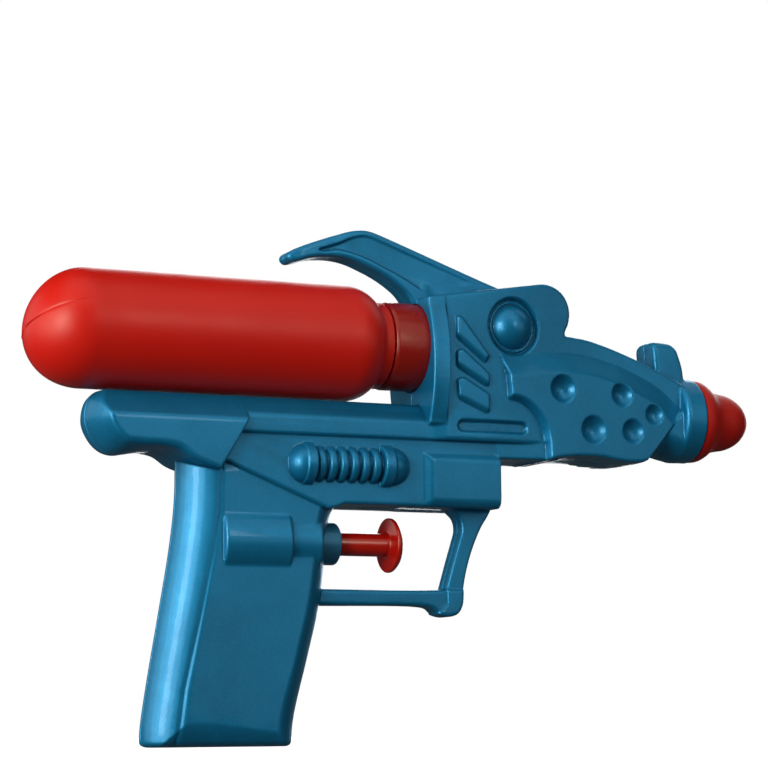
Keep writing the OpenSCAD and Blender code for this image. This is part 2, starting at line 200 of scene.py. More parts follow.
# ------------------------------------------------------ outlines of the body ----
HOOK = smooth([(-28.7, 31.3), (-27.6, 30.3), (-25.3, 30.6), (-22.5, 31.5), (-19.1, 32.1), (-15, 32.3), (-10.5, 31.7),
               (-5.8, 30.1), (-1.3, 28.1), (2.2, 26), (4.8, 23.9), (6.5, 21.5), (8.5, 18, 1), (34, 18, 1), (34, 26.7, 1),
               (26.9, 29.0), (2.6, 37.4), (-3.1, 39.3), (-5.4, 39.9), (-7.6, 40.0), (-10.5, 39.6), (-14.4, 38.4),
               (-20.1, 36.4), (-25.2, 34.4), (-27.6, 33.2), (-28.6, 32.3)])
HOOK_PANEL = smooth([(-20.4, 33.8), (-14.6, 36.1), (-10.6, 37.8), (-7.3, 38.6), (-5.2, 38.3), (-2.1, 37.3), (26.8, 27.3),
                     (34, 25, 1), (34, 20, 1), (13, 20, 1), (10.6, 23.6), (9.6, 24.6), (6.6, 26.4), (2.4, 28.5), (-1.1, 30.0),
                     (-5.6, 31.9), (-10.1, 33.3), (-14.6, 34.0), (-18.6, 33.4)])
BLOCK = smooth([(8, -15.4, 1), (8, 22.2, 1), (13, 23.2), (29, 25.8), (39, 27.5), (43.8, 28.2), (46.8, 27.7),
                (49.3, 26.3), (51.1, 24), (51.9, 21), (51.4, 17.7), (50.3, 15.4), (50.4, 14.6, 1), (53, 14.4),
                (57, 14), (62, 12.9), (67, 11.4), (72, 9.7), (78, 7.4), (84, 4.9), (86.8, 3.6, 1), (86.8, -12.5, 1),
                (72, -15.4, 1)])
PAD_TOP = [(28.7, 8.4), (31.4, 7.9), (34.4, 7.9), (42.8, 9.1), (50.4, 9.7), (58, 9.1), (65.7, 7.4), (73.5, 4.6),
           (79.6, 1.5), (83.4, -1.5), (86.4, -4.6)]
PAD_FRONT = [(86.4, -4.6), (84.6, -7.2), (81.9, -10.6), (78.4, -14.9), (75.4, -18.2)]
PAD_LOW = [(75.4, -18.2), (73.0, -19.1), (66, -19.2), (58.3, -18.3), (48.1, -18.8), (42.6, -19.8)]
PAD_BACK = [(42.6, -19.8), (42.4, -14.9), (41.7, -11.4), (39.3, -7.5), (35.6, -4.7), (31.3, -3.7),
            (31.1, -3.0), (30.6, 2.7), (28.7, 8.4)]
SIGHT = smooth([(80.3, 0, 1), (80.0, 7), (79.6, 12.2), (79.5, 14.3), (80.2, 15.45), (81.8, 15.75), (83.6, 15.65), (85.6, 15.2),
                (87.0, 13.8), (88.2, 11.0), (89.1, 8), (89.5, 4.6), (89.7, 0, 1)])
STOCK = smooth([(-77.5, -4, 1), (-79.4, -5.8), (-81.4, -8.0), (-82.3, -12), (-81.8, -15.2), (-79.4, -19.2), (-76.8, -21.2),
                (-74.5, -21.7), (-72.3, -21.4), (-65.6, -20.4), (-61.3, -20.8), (-56.8, -23.2),
                (-50, -25.2, 1), (-42.5, -12.2, 1), (-42.5, -4, 1)])
RECEIVER = [(-50, -11), (29.2, -11), (29.2, -32.8), (-15.6, -32.8), (-17.6, -33.7), (-19.9, -34.2), (-47.5, -23.1), (-50, -23)]
STRIP = [(28, -14), (47, -14), (47, -19.4), (28, -19.6)]
GUARD = smooth([(16.8, -31, 1), (29.9, -31, 1), (29.7, -32.8), (26.7, -37.7), (24.4, -42.7), (22.9, -47.1),
                (21.8, -51.5), (21.2, -55.4), (20.9, -58.3), (19.6, -60.2), (17, -61.0), (14.2, -60.5), (12.2, -58.9),
                (10, -58.4), (-21, -58.4, 1), (-21, -54.2, 1), (8, -54.2), (16.2, -53.9, 1), (18.6, -46), (20.2, -41), (21.0, -38),
                (20.4, -35.2), (18.6, -33.4)])
HEEL = smooth([(16.2, -53.8, 1), (21.4, -53.8, 1), (21.0, -57.9), (19.6, -60.2), (17, -61.0), (14.2, -60.5),
               (13.6, -60.2, 1), (16.2, -57.4, 1)])
GRIP = smooth([(-58.2, -17, 1), (-58.3, -32), (-59.6, -44), (-62.3, -60), (-65.8, -80), (-67.2, -90), (-67.3, -97, 1),
               (-27.5, -97, 1), (-27, -88), (-23, -72), (-20, -60), (-18.4, -50), (-17.6, -42), (-17.2, -38.5), (-16.4, -35.4),
               (-15.2, -32.8), (-15.2, -27, 1), (-19, -26, 1), (-19, -17, 1)])
LOUVRES = [[(15.8, 12.3), (15.8, 17.5), (17.4, 17.4), (25.4, 7.4), (24.3, 5.8)],
           [(15.9, 4.4), (15.9, 8.3), (17.7, 8.8), (25.3, 2.5), (25.3, -0.3), (24.6, -0.4)],
           [(16.2, -4.0), (15.9, 0.8), (17.8, 1.3), (25.3, -2.9), (25.3, -7.3), (24.6, -7.5)]]
DIMPLES = [(47.5, -0.35, 3.75), (66.3, -0.85, 3.25), (57.0, -10.9, 3.75), (69.6, -10.75, 3.25), (76.6, -5.85, 2.75)]
SCREWS = [(-66, -13, 6, -6), (-10, -13, 6, -6), (20.5, 20.3, 6, -6), (63.4, -14.2, 6, -6), (22, -26.5, 6, -6),
          (-37, -60, 6, -6), (-46, -83, 6, -6), (18, -56.4, 1.5, -2.4)]


def roof(p, w, nb, low):
    """Section of rail and stock: flat top, sloping shoulders, upright sides."""
    d = smax(p.a - w, nb[0] * (p.a - 4.7) + nb[1] * (p.z + 5.7), 0.7)
    d = smax(d, p.z + 5.7, 0.5)
    return smax(d, low - p.z, 0.6) + 0 * p.x


def louvre(p, pts, base, top):
    """Prism on the side of the block: outline pts, each wall with its own draft."""
    f = p.a - top + 0 * p.x + 0 * p.z
    m = len(pts)
    turn = sum(pts[i][0] * pts[(i + 1) % m][1] - pts[(i + 1) % m][0] * pts[i][1] for i in range(m))
    for i in range(m):
        (ax, az), (bx, bz) = pts[i], pts[(i + 1) % m]
        ex, ez = bx - ax, bz - az
        L = math.hypot(ex, ez) * (1 if turn > 0 else -1)
        nx, nz = ez / L, -ex / L
        foot, head = (0.05, 0.10) if nx < -0.9 else (0.35, 0.45) if nz < -0.3 else (0.1, 0.3)
        k = (foot + head) / (top - base)
        wall = (nx * (p.x - ax) + nz * (p.z - az) - foot + k * (p.a - base)) / math.sqrt(1 + k * k)
        f = smax(f, wall, 0.45)
    return np.maximum(f, base - 2 - p.a)


def outer_body():
    D = new_field()
    # rail that carries the bottle
    p = Patch(-46, 11, -16, -5)
    f = np.maximum(roof(p, 9.85, (0.691, 0.7226), -15.4), np.maximum(-46 - p.x, p.x - 10.5))
    join(D, p, f)
    # stock with its rounded rear end
    p = Patch(-83, -43, -26, -5)
    s2 = poly(p, STOCK)[:, :, None]
    c = np.interp(gx[p.s[0]], [-76, -70, -64, -58], [3.3, 1.4, 0.5, 0.0])[:, None, None].astype(np.float32)
    w = 11.6
    f = (s2 + c * (p.a / w) ** 2) / np.sqrt(1 + (2 * c * p.a / (w * w)) ** 2)
    soft = np.interp(gx[p.s[0]], [-80, -72, -60, -50, -46], [0.6, 1.5, 2.0, 1.0, 0.4])[:, None, None].astype(np.float32)
    h = np.maximum(soft - np.abs(f - (p.a - w)), 0) / soft
    side = np.maximum(f, p.a - w) + h * h * soft * 0.25
    f = smax(side, roof(p, 30, (0.691, 0.7226), -40), 0.6)
    join(D, p, f, 0.25)
    # receiver, rectangular side panel and the strip under the block
    p = Patch(-50, 30, -33, -11)
    join(D, p, slab(p, poly(p, RECEIVER), 9.2, 0.7), 0.3)
    p = Patch(6, 30, -34, -18)
    f = smax(p.a - 10.4, -0.4626 * (p.x - 6.8) + 0.8866 * (p.a - 9.2), 0.4)
    f = smax(f, 0.590 * (p.z + 18.8) + 0.8074 * (p.a - 9.2), 0.4)
    f = smax(f, -0.590 * (p.z + 32.9) + 0.8074 * (p.a - 9.2), 0.5)
    f = smax(f, p.x - 29.2, 0.6)
    f = smax(f, -32.9 - p.z, 0.8)
    join(D, p, f, 0.12)
    p = Patch(27, 48, -20, -13)
    join(D, p, slab(p, poly(p, STRIP), 9.4, 0.5), 0.3)

    # block, spine and shroud as one relief over the side view
    p = Patch(7, 86, -21, 29)
    PX, PZ = p.X, p.Z
    block = poly(p, BLOCK)
    pad_line = smooth([q + (1,) if q in (PAD_TOP[0], PAD_FRONT[0], PAD_LOW[0], PAD_BACK[0], (31.3, -3.7), (31.1, -3.0)) else q
                       for q in PAD_TOP[:-1] + PAD_FRONT[:-1] + PAD_LOW[:-1] + PAD_BACK[:-1]])
    pad = poly(p, pad_line)
    inside = pad < 0

    def curve(pts):
        pts = [(2 * pts[0][0] - pts[1][0], 2 * pts[0][1] - pts[1][1])] + pts
        c = smooth([pts[1] + (1,)] + pts[2:-1] + [pts[-1] + (1,)])
        return c[: 7 * (len(pts) - 2) + 1]

    d_top = line_dist(PX, PZ, curve(PAD_TOP), False)[0]
    d_front = line_dist(PX, PZ, curve(PAD_FRONT), False)[0]
    d_back = line_dist(PX, PZ, curve(PAD_BACK[:6]), False)[0]
    d_rear = line_dist(PX, PZ, np.array(PAD_BACK[5:]), False)[0]
    H = 11.0 - 3.3 * ease((PX - 22) / 42.0)
    Hp = 12.7 - 0.058 * (PX - 31)
    t = np.clip(d_top / 5.7, 0, 1)
    t = smin(smin(t, d_back / 1.25, 0.25), smin(d_rear / 0.75, d_front / 0.9, 0.3), 0.12)
    t = smin(t, np.float32(1.0), 0.18) / 0.995
    H = H + np.where(inside, np.clip(t, 0, 1), 0) * (Hp - H)
    # swelling at the rear of the block where the collar sits
    barrel = smax(14.2 - 0.013 * (PZ - 5.0) ** 2 - H, np.float32(0.12), 0.3)
    H = H + barrel * np.clip((13.1 - PX) / 0.35, 0, 1) * np.clip((PZ + 11.2) / 0.5, 0, 1)
    # below it the side runs flush into the rail
    H = H - (1.1 - 1.1 * ease((PX - 8) / 6.0)) * ease((-10.9 - PZ) / 0.8)
    u = np.clip((PX - 17.8) / 17.8, 0, 1)
    slot = np.hypot(PX - 17.8 - 17.8 * u, PZ + 11.45 - 0.1 * u)
    H = H - 0.95 * ease((1.85 - slot) / 0.7)
    # ring well round the side button
    rho = np.hypot(PX - 33.4, PZ - 15.75)
    H = H - 1.55 * ease((8.15 - rho) / 1.1) + 0.85 * np.exp(-((rho - 6.55) / 0.34) ** 2)
    g = np.gradient(H, STEP, STEP)
    slope = np.sqrt(1 + g[0] ** 2 + g[1] ** 2)[:, :, None]
    rim, top = np.minimum(block, pad)[:, :, None], (p.a - H[:, :, None]) / slope
    soft = np.interp(gx[p.s[0]], [9.5, 12.5], [0.7, 1.25])[:, None, None].astype(np.float32)
    h = np.maximum(soft - np.abs(rim - top), 0) / soft
    f = np.maximum(rim, top) + h * h * soft * 0.25
    join(D, p, f, 0.15)
    # side button
    q = Patch(26, 42, 8, 24)
    join(D, q, np.sqrt((q.x - 33.4) ** 2 + (q.z - 15.75) ** 2 + (q.a - 6.3) ** 2) - 6.5, 0.1)
    # louvres with a steep rear wall and a drafted lower wall
    q = Patch(15, 26, -9, 19)
    for pts in LOUVRES:
        join(D, q, louvre(q, pts, 11.0, 12.2), 0.12)
    # neck, muzzle collar and sight
    q = Patch(70, 88, -18, 6)
    cone = np.hypot(q.a, q.z - ZN) - 10.4 - 1.1 * np.clip((q.x - 81.2) / 5.0, 0, 1)
    cut = np.maximum((84.4 + 0.85 * (q.z - ZN) - q.x) * 0.762, q.x - 90)
    join(D, q, smax(smax(cone, q.a - 9.2, 0.8), cut, 1.2), 0.6)
    q = Patch(85, 94, -19, 7)
    join(D, q, xcyl(q, 86.2, 92.0, 11.7, ZN, 1.3), 0.5)
    join(D, q, xcyl(q, 88.4, 92.6, 11.7, ZN, 0.4), 0.0)
    # round cups in the shroud
    for cx, cz, r in DIMPLES:
        q = Patch(cx - r, cx + r, cz - r, cz + r, 2.0)
        high = H[np.searchsorted(gx[p.s[0]], cx), np.searchsorted(gz[p.s[1]], cz)]
        carve(D, q, np.sqrt((q.x - cx) ** 2 + (q.z - cz) ** 2 + (q.a - high - 0.5 * r) ** 2) - 1.118 * r, 0.4)
    q = Patch(79, 91, 0, 16)
    u, v = q.a - 5.15 + 3.4, q.z - 15.75 + 3.4
    arch = np.minimum(np.maximum(u, v), 0) + np.hypot(np.maximum(u, 0), np.maximum(v, 0)) - 3.4
    join(D, q, smax(poly(q, SIGHT)[:, :, None], arch, 1.5), 0.8)

    # hook: rim, sunk side panel, rounded tip
    p = Patch(-31, 35, 18, 41)
    s2, panel = poly(p, HOOK), poly(p, HOOK_PANEL)
    # the panel is deepest along its lower rim and runs out above the block
    soft = 0.45 + 3.5 * ease((p.X - 8.5) / 2) * ease((28.5 - p.Z) / 2)
    sink = 0.9 * ease(-panel / soft + 0.1) * np.interp(p.X, [-20, 4, 16], [1, 0.9, 0.4])
    sink = sink * np.interp(38.3 - 0.331 * (p.X + 5.2) - p.Z, [0, 6], [0.4, 1.0])
    wide = np.interp(p.X, [-29, -25, 0], [3.5, 4.0, 4.1])
    Hh = (wide - sink).astype(np.float32)
    g = np.gradient(Hh, STEP, STEP)
    f = smax(s2[:, :, None], (p.a - Hh[:, :, None]) / np.sqrt(1 + g[0] ** 2 + g[1] ** 2)[:, :, None], 1.3)
    join(D, p, f, 0.25)

    # trigger guard with its heel
    p = Patch(-22, 31, -62, -30)
    join(D, p, slab(p, poly(p, GUARD), 3.05, 0.9), 0.6)
    join(D, p, slab(p, poly(p, HEEL), 3.55, 0.9), 0.15)

    # grip: oval section drawn in towards the front and back straps
    p = Patch(-68, -14, -95, -17)
    s2 = poly(p, GRIP)
    u = np.clip(1 + s2 / np.interp(p.X, [-52, -30], [9.0, 6.2]), 0, 1.6)
    Fo = (u ** 1.4)[:, :, None] + (np.maximum(p.a, 0) / 8.5) ** 1.9 - 1
    f = field_over_slope(Fo.astype(np.float32), STEP, STEP, STEP)
    f = np.where(f > 3, 3, f)
    f = smax(f, -94.0 - p.z, 1.6)
    f = smax(f, p.z + 18.0, 0.5)
    join(D, p, f, 0.3)
    # thin crease behind the back strap
    cr = line_dist(p.X, p.Z, [(-48.9, -24), (-49.3, -36), (-51.2, -46), (-54.5, -62), (-58.5, -80), (-60.5, -95)], False)[0]
    v = D[p.s]
    v += 0.28 * (np.exp(-(cr / 0.5) ** 2) * (p.Z < -23.6))[:, :, None] * (p.a > 5)
    # pump housing swellings
    p = Patch(-50, -20, -55, -30)
    join(D, p, xcyl(p, -48.4, -30.1, 10.6, ZP, 0.7), 0.25)
    join(D, p, xcyl(p, -31, -21.4, 9.3, ZP, 0.6), 0.25)

    # moulded spring on the side of the receiver, a turned shape
    p = Patch(-34, 4, -30, -15)
    rho = np.hypot(p.a - 8.4, p.z + 22.8)
    rho, xx = np.broadcast_arrays(rho + 0 * p.x, p.x + 0 * rho)
    fx = np.arange(-31.3, 2.81, 0.1)
    fr = np.full(fx.shape, 3.45)
    fr = np.where(fx < -27.2, 4.9 * np.sqrt(np.clip(1 - ((fx + 26.9) / 4.4) ** 2, 0, 1)), fr)
    fr = np.where((fx >= -27.2) & (fx <= -24.5), 5.3, fr)
    for i in range(6):
        c = -22.85 + 3.05 * i
        fr = np.maximum(fr, np.where(np.abs(fx - c) < 1.2, 3.4 + 1.15 * np.clip(1 - np.abs((fx - c) / 1.2) ** 3.2, 0, 1) ** 0.5, 0))
    fr = np.where((fx >= -5.6) & (fx <= -2.6), 5.3, fr)
    fr = np.where(fx > -2.6, 4.9 * np.sqrt(np.clip(1 - ((fx + 2.9) / 5.7) ** 2, 0, 1)), fr)
    # table of distance over (rho, x), then looked up
    tr = np.arange(0, 13.0, 0.15)
    TX, TR = np.meshgrid(np.arange(-38, 8, 0.15), tr, indexing="ij")
    d, ins = line_dist(TX, TR, np.concatenate([np.stack([fx, fr], 1), [[fx[-1], -1.0], [fx[0], -1.0]]]))
    table = np.where(ins, -d, d).astype(np.float32) + 0.12
    ix = np.clip((xx + 38) / 0.15, 0, table.shape[0] - 1.01)
    ir = np.clip(rho / 0.15, 0, table.shape[1] - 1.01)
    i0, j0 = ix.astype(np.int32), ir.astype(np.int32)
    fu, fv = ix - i0, ir - j0
    f = (table[i0, j0] * (1 - fu) * (1 - fv) + table[i0 + 1, j0] * fu * (1 - fv)
         + table[i0, j0 + 1] * (1 - fu) * fv + table[i0 + 1, j0 + 1] * fu * fv) - 0.12
    join(D, p, f, 0.2)
    return D


def inside_cut(D, outer):
    """Hollows the body to a moulded wall, then adds saddles, posts and seats."""
    def hole(pts, w):
        P = np.asarray(pts, float)
        p = Patch(P[:, 0].min(), P[:, 0].max(), P[:, 1].min(), P[:, 1].max(), 1.0)
        carve(D, p, np.maximum(np.maximum(poly(p, pts)[:, :, None], p.a - w), outer[p.s] + 1.7))

    def hole_cyl(x0, x1, r, zc, wall=True):
        p = Patch(x0, x1, zc - r, zc + r, 1.0)
        f = xcyl(p, x0, x1, r, zc)
        carve(D, p, np.maximum(f, outer[p.s] + 1.7) if wall else f)

    hole([(16, -13), (16, 20.6), (29, 23.6), (39, 25.2), (43, 25.6), (46, 23.5), (47.6, 20.5), (46, 13), (46, -13)], 8.4)
    hole([(44, 12.4), (57, 12), (67, 9.2), (73, 6.6), (73, -14.5), (44, -15.5)], 6.4)
    hole([(45, -15.8), (45, 1.4), (66, -1.4), (71, -5), (71, -15.8)], 10.2)
    hole_cyl(70, 88.2, 7.4, ZN)
    hole([(-42, -16), (-42, -7.6), (17, -7.6), (17, -16)], 6.6)
    hole([(-78.5, -7.4), (-80, -12), (-77, -18.6), (-74, -19.6), (-66, -18.4), (-60, -18.8), (-54, -21),
          (-50.6, -22), (-46, -12.8), (-46, -7.4)], 9.6)
    hole([(-43, -14), (27.4, -14), (27.4, -30.9), (-17, -30.9), (-42, -24), (-43, -23)], 7.4)
    hole([(-53, -20), (-53.3, -32), (-55, -44), (-58.5, -60), (-63, -80), (-65, -92), (-29, -92), (-28, -88),
          (-23.4, -72), (-19.7, -60), (-18, -50), (-17.4, -38), (-18, -31), (-20, -20)], 6.8)
    hole_cyl(-46.8, -32, 9.4, ZP)
    hole_cyl(-33, -22.6, 8.1, ZP)

    def keep(p, f):
        join(D, p, np.maximum(f, outer[p.s] + 0.4))

    for x0 in (-38.2, -28.0):
        p = Patch(x0, x0 + 1.8, ZP - 11, ZP + 11, 1.0)
        keep(p, np.maximum(np.maximum(x0 - p.x, p.x - x0 - 1.8), np.maximum(np.abs(p.z - ZP) - 11, p.a - 9)))
    p = Patch(14.4, 16.2, -6, 21, 1.0)
    keep(p, np.maximum(np.maximum(14.4 - p.x, p.x - 16.2), np.maximum(np.maximum(-6 - p.z, p.z - 21), p.a - 9)))
    for x0, z0, seat, _ in SCREWS:
        if seat > 3:
            p = Patch(x0 - 2.8, x0 + 2.8, z0 - 2.8, z0 + 2.8, 1.0)
            keep(p, np.maximum(np.hypot(p.x - x0, p.z - z0) - 2.8, p.a - 11))
    for x0, x1, r, zc in ((7, 10.2, 11.75, ZB), (9.5, 12, 10.0, ZB), (11.4, 14.4, 10.3, ZB), (14, 17, 4.3, 6.0),
                          (88, 91.2, 9.4, ZN), (90.5, 95, 8.25, ZN), (-49, -21.1, 6.86, ZP), (-36.4, -34.6, 8.4, ZP),
                          (-22, -12, 5.6, ZP)):
        hole_cyl(x0, x1, r, zc, False)
    p = Patch(-48.2, -41.8, ZP, ZP + 12, 1.0)
    carve(D, p, np.maximum(np.hypot(p.x + 45, p.a) - 3.2, np.maximum(ZP - p.z, p.z - ZP - 12)))


def surface_nets(d):
    """Quads over the zero level of d, one vertex to each cell that the surface passes through."""
    s = d < 0
    n = np.zeros(tuple(v - 1 for v in d.shape), np.int8)
    off = np.array([(i, j, k) for i in (0, 1) for j in (0, 1) for k in (0, 1)])
    for i, j, k in off:
        n += s[i:s.shape[0] - 1 + i, j:s.shape[1] - 1 + j, k:s.shape[2] - 1 + k]
    idx = np.argwhere((n > 0) & (n < 8))
    vid = np.full(n.shape, -1, np.int32)
    vid[idx[:, 0], idx[:, 1], idx[:, 2]] = np.arange(len(idx))
    val = np.stack([d[idx[:, 0] + o[0], idx[:, 1] + o[1], idx[:, 2] + o[2]] for o in off], 1)
    acc, cnt = np.zeros((len(idx), 3)), np.zeros(len(idx))
    for i in range(8):
        for j in range(i + 1, 8):
            if np.abs(off[i] - off[j]).sum() != 1:
                continue
            vi, vj = val[:, i], val[:, j]
            m = (vi < 0) != (vj < 0)
            t = (vi[m] / (vi[m] - vj[m]))[:, None]
            acc[m] += off[i] + t * (off[j] - off[i])
            cnt[m] += 1
    verts = idx + acc / cnt[:, None]
    quads = []
    for ax in range(3):
        o = [b for b in range(3) if b != ax]
        lo = [slice(None)] * 3
        hi = [slice(None)] * 3
        lo[ax], hi[ax] = slice(None, -1), slice(1, None)
        for b in o:
            lo[b] = hi[b] = slice(1, -1)
        p, q = s[tuple(lo)], s[tuple(hi)]
        e = np.argwhere(p != q)
        sign = p[e[:, 0], e[:, 1], e[:, 2]]
        c = e.copy()
        for b in o:
            c[:, b] += 1
        ring = []
        for db, dc in ((-1, -1), (0, -1), (0, 0), (-1, 0)):
            w = c.copy()
            w[:, o[0]] += db
            w[:, o[1]] += dc
            ring.append(vid[w[:, 0], w[:, 1], w[:, 2]])
        ring = np.stack(ring, 1)
        flip = sign if ax != 1 else ~sign
        ring[flip] = ring[flip][:, ::-1]
        quads.append(ring)
    return verts, np.concatenate(quads)


def sample(arr, pts):
    """Trilinear value of a grid array at points given in cells."""
    q = np.clip(pts, 0, np.array(arr.shape) - 1.001)
    i = q.astype(np.int32)
    f = (q - i).astype(np.float32)
    out = 0
    for a in (0, 1):
        for b in (0, 1):
            for c in (0, 1):
                w = (f[:, 0] if a else 1 - f[:, 0]) * (f[:, 1] if b else 1 - f[:, 1]) * (f[:, 2] if c else 1 - f[:, 2])
                out = out + w * arr[i[:, 0] + a, i[:, 1] + b, i[:, 2] + c]
    return out


def field_mesh(name, D, side, faces):
    """Mesh of one half of the body. side is -1 for the right half and +1 for the left."""
    v, q = surface_nets(D)
    grad = np.gradient(D, STEP)
    for _ in range(2):
        g = np.stack([sample(c, v) for c in grad], 1)
        dist = sample(D, v)
        v = v - np.clip(dist, -0.3, 0.3)[:, None] * g / np.maximum((g * g).sum(1), 0.2)[:, None] / STEP
    low = np.array([gx[0], gz[0], ga[0]], float)

    def place(c):
        m = c * STEP + low
        return np.stack([m[:, 0], side * m[:, 2], m[:, 1]], 1)

    mm = place(v)
    a, b, c = mm[q[:, 0]], mm[q[:, 1]], mm[q[:, 2]]
    if (a * np.cross(b, c)).sum() + (a * np.cross(c, mm[q[:, 3]])).sum() < 0:
        q = q[:, ::-1]
    me = bpy.data.meshes.new(name)
    me.from_pydata((((mm + ORG) / 1000.0)).tolist(), [], q.tolist())
    ob = bpy.data.objects.new(name, me)
    scene.collection.objects.link(ob)
    if len(q) * 2 > faces:
        mod = ob.modifiers.new("thin", "DECIMATE")
        mod.ratio = faces / (len(q) * 2.0)
        mod.use_collapse_triangulate = True
        dg = bpy.context.evaluated_depsgraph_get()
        new = bpy.data.meshes.new_from_object(ob.evaluated_get(dg))
        ob.modifiers.clear()
        ob.data = new
        bpy.data.meshes.remove(me)
        me = new
        me.name = name
    # normals of every corner from the field a little inside its own face
    n = len(me.vertices)
    co = np.zeros(n * 3, np.float32)
    me.vertices.foreach_get("co", co)
    mm = co.reshape(-1, 3).astype(float) * 1000.0 - ORG
    cell = (np.stack([mm[:, 0], mm[:, 2], side * mm[:, 1]], 1) - low) / STEP
    nl = len(me.loops)
    lv = np.zeros(nl, np.int32)
    me.loops.foreach_get("vertex_index", lv)
    start = np.zeros(len(me.polygons), np.int32)
    total = np.zeros(len(me.polygons), np.int32)
    me.polygons.foreach_get("loop_start", start)
    me.polygons.foreach_get("loop_total", total)
    owner = np.repeat(np.arange(len(start)), total)
    cent = np.zeros((len(start), 3))
    np.add.at(cent, owner, cell[lv])
    cent /= total[:, None]
    to = cent[owner] - cell[lv]
    L = np.linalg.norm(to, axis=1)
    pts = cell[lv] + to * np.minimum(0.75, 0.9 / np.maximum(L, 1e-6))[:, None]
    g = np.stack([sample(c, pts) for c in grad], 1)
    nrm = np.stack([g[:, 0], side * g[:, 2], g[:, 1]], 1)
    nrm /= np.maximum(np.linalg.norm(nrm, axis=1), 1e-6)[:, None]
    fn = np.zeros(len(start) * 3, np.float32)
    me.polygons.foreach_get("normal", fn)
    fn = fn.reshape(-1, 3)[owner]
    bad = (nrm * fn).sum(1) < 0.2
    nrm[bad] = fn[bad]
    me.polygons.foreach_set("use_smooth", np.ones(len(start), bool))
    me.normals_split_custom_set(nrm.tolist())
    # how sharply the surface turns, used for painted highlights on convex edges and painted shade in inside corners
    lap = np.zeros(D.shape, np.float32)
    for ax in range(3):
        lap += np.gradient(grad[ax], STEP, axis=ax)
    turn = np.clip(sample(lap, cell), -2.5, 2.5)
    at = me.attributes.new("turn", "FLOAT", "POINT")
    at.data.foreach_set("value", turn.astype(np.float32))
    me.update()
    return ob


# ------------------------------------------------------------ turned pieces ----
def turned(name, prof, zc, n=96, yc=0.0, bump=None, sharp=32.0, extra=()):
    """Solid of revolution about an axis along X. prof is a closed list of (radius, x)."""
    angles = sorted({round(2 * math.pi * k / n, 5) for k in range(n)} | {round(t % (2 * math.pi), 5) for t in extra})
    n = len(angles)
    bm = bmesh.new()
    rings = []
    for r, x in prof:
        if r < 1e-6:
            rings.append([bm.verts.new((x, yc, zc))])
            continue
        ring = []
        for th in angles:
            rr = r if bump is None else bump(r, x, th)
            ring.append(bm.verts.new((x, yc + rr * math.cos(th), zc + rr * math.sin(th))))
        rings.append(ring)
    m = len(rings)
    closed = not (len(rings[0]) == 1 and len(rings[-1]) == 1)
    for i in range(m if closed else m - 1):
        p, q = rings[i], rings[(i + 1) % m]
        for k in range(n):
            l = (k + 1) % n
            if len(p) == 1 and len(q) == 1:
                break
            if len(p) == 1:
                bm.faces.new((p[0], q[k], q[l]))
            elif len(q) == 1:
                bm.faces.new((p[k], q[0], p[l]))
            else:
                bm.faces.new((p[k], q[k], q[l], p[l]))
    bmesh.ops.recalc_face_normals(bm, faces=bm.faces)
    return finish_mesh(name, bm, sharp)


def finish_mesh(name, bm, sharp=32.0):
    for v in bm.verts:
        v.co = (v.co + Vector(ORG)) / 1000.0
    me = bpy.data.meshes.new(name)
    bm.to_mesh(me)
    bm.free()
    me.polygons.foreach_set("use_smooth", np.ones(len(me.polygons), bool))
    me.set_sharp_from_angle(angle=math.radians(sharp))
    ob = bpy.data.objects.new(name, me)
    scene.collection.objects.link(ob)
    return ob


def fillet(pts, n=4):
    """Open polyline of (r, x[, radius]) with its corners rounded."""
    out = [tuple(pts[0][:2])]
    for i in range(1, len(pts) - 1):
        b = np.array(pts[i][:2], float)
        rad = pts[i][2] if len(pts[i]) > 2 else 0.0
        if rad <= 0:
            out.append(tuple(b))
            continue
        a, c = np.array(pts[i - 1][:2], float), np.array(pts[i + 1][:2], float)
        u, w = (a - b) / np.linalg.norm(a - b), (c - b) / np.linalg.norm(c - b)
        ang = math.acos(np.clip(u @ w, -1, 1))
        t = min(rad / math.tan(ang / 2), 0.48 * np.linalg.norm(a - b), 0.48 * np.linalg.norm(c - b))
        p0, p1 = b + u * t, b + w * t
        for s in range(n + 1):
            f = s / n
            out.append(tuple((1 - f) ** 2 * p0 + 2 * f * (1 - f) * b + f * f * p1))
    out.append(tuple(pts[-1][:2]))
    return out


